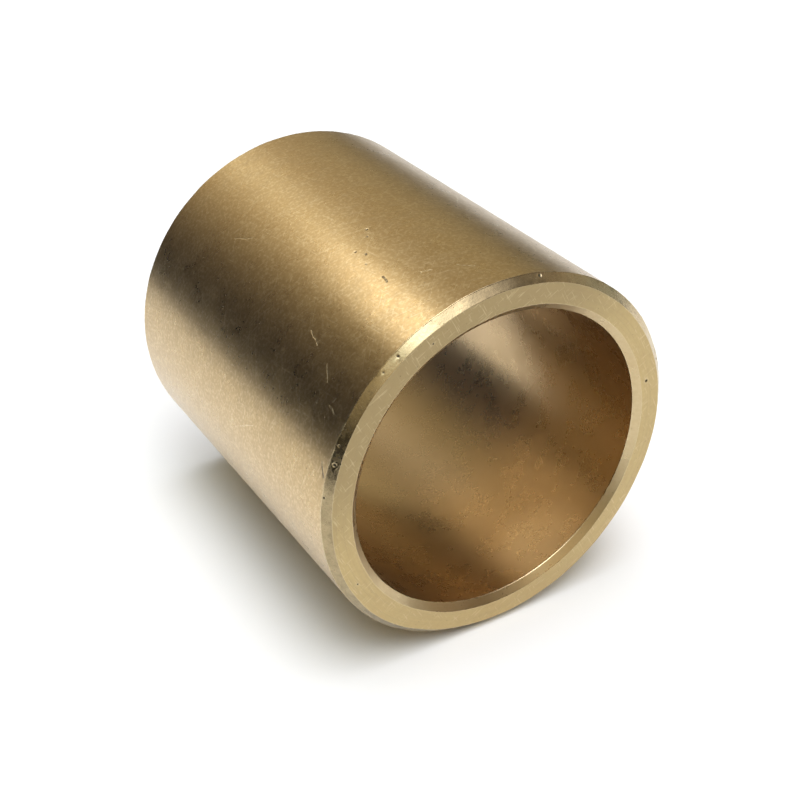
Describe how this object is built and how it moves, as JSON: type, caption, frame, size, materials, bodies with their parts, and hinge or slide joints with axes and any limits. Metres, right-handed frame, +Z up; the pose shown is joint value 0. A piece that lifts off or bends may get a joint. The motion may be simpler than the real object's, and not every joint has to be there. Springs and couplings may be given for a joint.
{
  "type": "sleeve bushing",
  "caption": "Plain cylindrical sleeve bushing with a straight through bore and a small chamfer on every edge, pressed into a housing to carry a shaft.",
  "frame": {"origin": "centre of the bore, halfway along its length", "axes": "+Y along the bore axis, from the front face to the back face; +Z up; the bushing lies on its side as in the picture"},
  "size_m": [0.035, 0.0382, 0.035],
  "materials": {
    "bronze": null
  },
  "bodies": {
    "root": {"bushing_sleeve": "bronze"}
  },
  "joints": []
}
